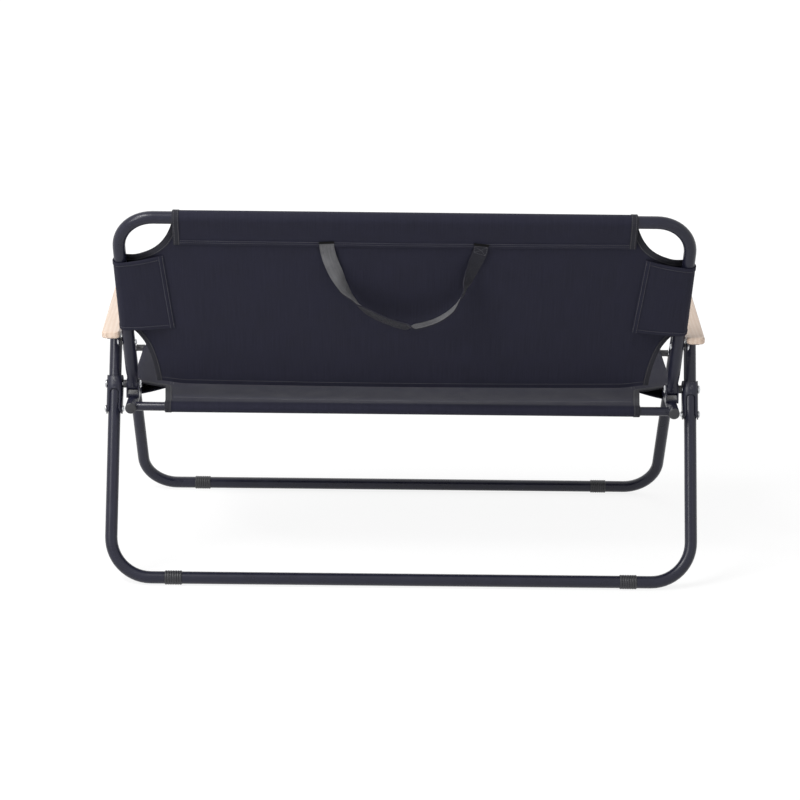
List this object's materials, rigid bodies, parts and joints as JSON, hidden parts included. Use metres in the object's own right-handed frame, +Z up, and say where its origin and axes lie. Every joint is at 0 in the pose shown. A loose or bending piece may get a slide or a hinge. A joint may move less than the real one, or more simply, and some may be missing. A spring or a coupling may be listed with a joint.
{
  "type": "folding camping loveseat",
  "caption": "Low two-seat folding chair: sling seat and back on bent tubes, U-shaped leg frames, wooden armrests and a webbing carry handle; it folds flat.",
  "frame": {"origin": "on the floor, under the middle of the object's box", "axes": "+Z up, the sitter faces -Y, +X is the sitter's left, which is the left side of the picture taken from behind"},
  "size_m": [1.0808, 0.6072, 0.6755],
  "materials": {
    "tube_paint": "satin charcoal powder coat",
    "black_plastic": "moulded matte",
    "zinc_bolt": "bright zinc plate",
    "sling_cloth": "dark woven polyester",
    "webbing": "woven webbing",
    "pale_wood": "clear satin lacquer"
  },
  "bodies": {
    "seat_frame": {"seat_side_tube_left": "tube_paint", "seat_side_tube_right": "tube_paint", "seat_rear_cap_left": "black_plastic", "seat_rear_cap_right": "black_plastic", "seat_front_cap_left": "black_plastic", "seat_front_cap_right": "black_plastic", "seat_rear_rail": "tube_paint", "seat_front_rail": "tube_paint", "back_clevis_left": "tube_paint", "back_clevis_right": "tube_paint", "main_pivot_bolt_left": "zinc_bolt", "main_pivot_bolt_right": "zinc_bolt", "main_pivot_spacer_left": "black_plastic", "main_pivot_spacer_right": "black_plastic", "front_pivot_bolt_left": "zinc_bolt", "front_pivot_bolt_right": "zinc_bolt", "front_pivot_spacer_left": "black_plastic", "front_pivot_spacer_right": "black_plastic", "seat_sling": "sling_cloth"},
    "back": {"back_frame": "tube_paint", "back_sling": "sling_cloth", "carry_handle": "webbing", "arm_pivot_bolt_left": "zinc_bolt", "arm_pivot_bolt_right": "zinc_bolt", "arm_pivot_washer_left": "black_plastic", "arm_pivot_washer_right": "black_plastic"},
    "rear_legs": {"rear_leg_frame": "tube_paint", "rear_post_cap_left": "black_plastic", "rear_post_cap_right": "black_plastic", "rear_foot_sleeve_left": "black_plastic", "rear_foot_sleeve_right": "black_plastic", "knuckle_bracket_left": "tube_paint", "knuckle_bracket_right": "tube_paint", "knuckle_bolt_left": "zinc_bolt", "knuckle_bolt_right": "zinc_bolt"},
    "front_legs": {"front_leg_frame": "tube_paint", "front_leg_cap_left": "black_plastic", "front_leg_cap_right": "black_plastic", "front_foot_sleeve_left": "black_plastic", "front_foot_sleeve_right": "black_plastic"},
    "left_armrest": {"armrest_left": "pale_wood", "armrest_rear_bracket_left": "tube_paint", "armrest_front_bracket_left": "tube_paint", "armrest_front_bolt_left": "zinc_bolt"},
    "right_armrest": {"armrest_right": "pale_wood", "armrest_rear_bracket_right": "tube_paint", "armrest_front_bracket_right": "tube_paint", "armrest_front_bolt_right": "zinc_bolt"}
  },
  "joints": [
    {"name": "back_fold", "type": "hinge", "parent": "seat_frame", "child": "back", "pos_m": [0, 0.14993, 0.33168], "axis": [1, 0, 0], "range_deg": [0, 105]},
    {"name": "rear_leg_swing", "type": "hinge", "parent": "back", "child": "rear_legs", "pos_m": [0, 0.14993, 0.33168], "axis": [1, 0, 0], "range_deg": [-42.75, 0]},
    {"name": "front_leg_fold", "type": "hinge", "parent": "seat_frame", "child": "front_legs", "pos_m": [0, -0.16021, 0.32072], "axis": [1, 0, 0], "range_deg": [0, 105]},
    {"name": "armrest_fold_left", "type": "hinge", "parent": "back", "child": "left_armrest", "pos_m": [0, 0.18685, 0.41867], "axis": [1, 0, 0], "range_deg": [-105, 0]},
    {"name": "armrest_fold_right", "type": "hinge", "parent": "back", "child": "right_armrest", "pos_m": [0, 0.18685, 0.41867], "axis": [1, 0, 0], "range_deg": [-105, 0]}
  ],
  "couplings": [
    {"joint": "rear_leg_swing", "follows": "back_fold", "ratio": -0.407},
    {"joint": "front_leg_fold", "follows": "back_fold", "ratio": 1},
    {"joint": "armrest_fold_left", "follows": "back_fold", "ratio": -1},
    {"joint": "armrest_fold_right", "follows": "back_fold", "ratio": -1}
  ]
}
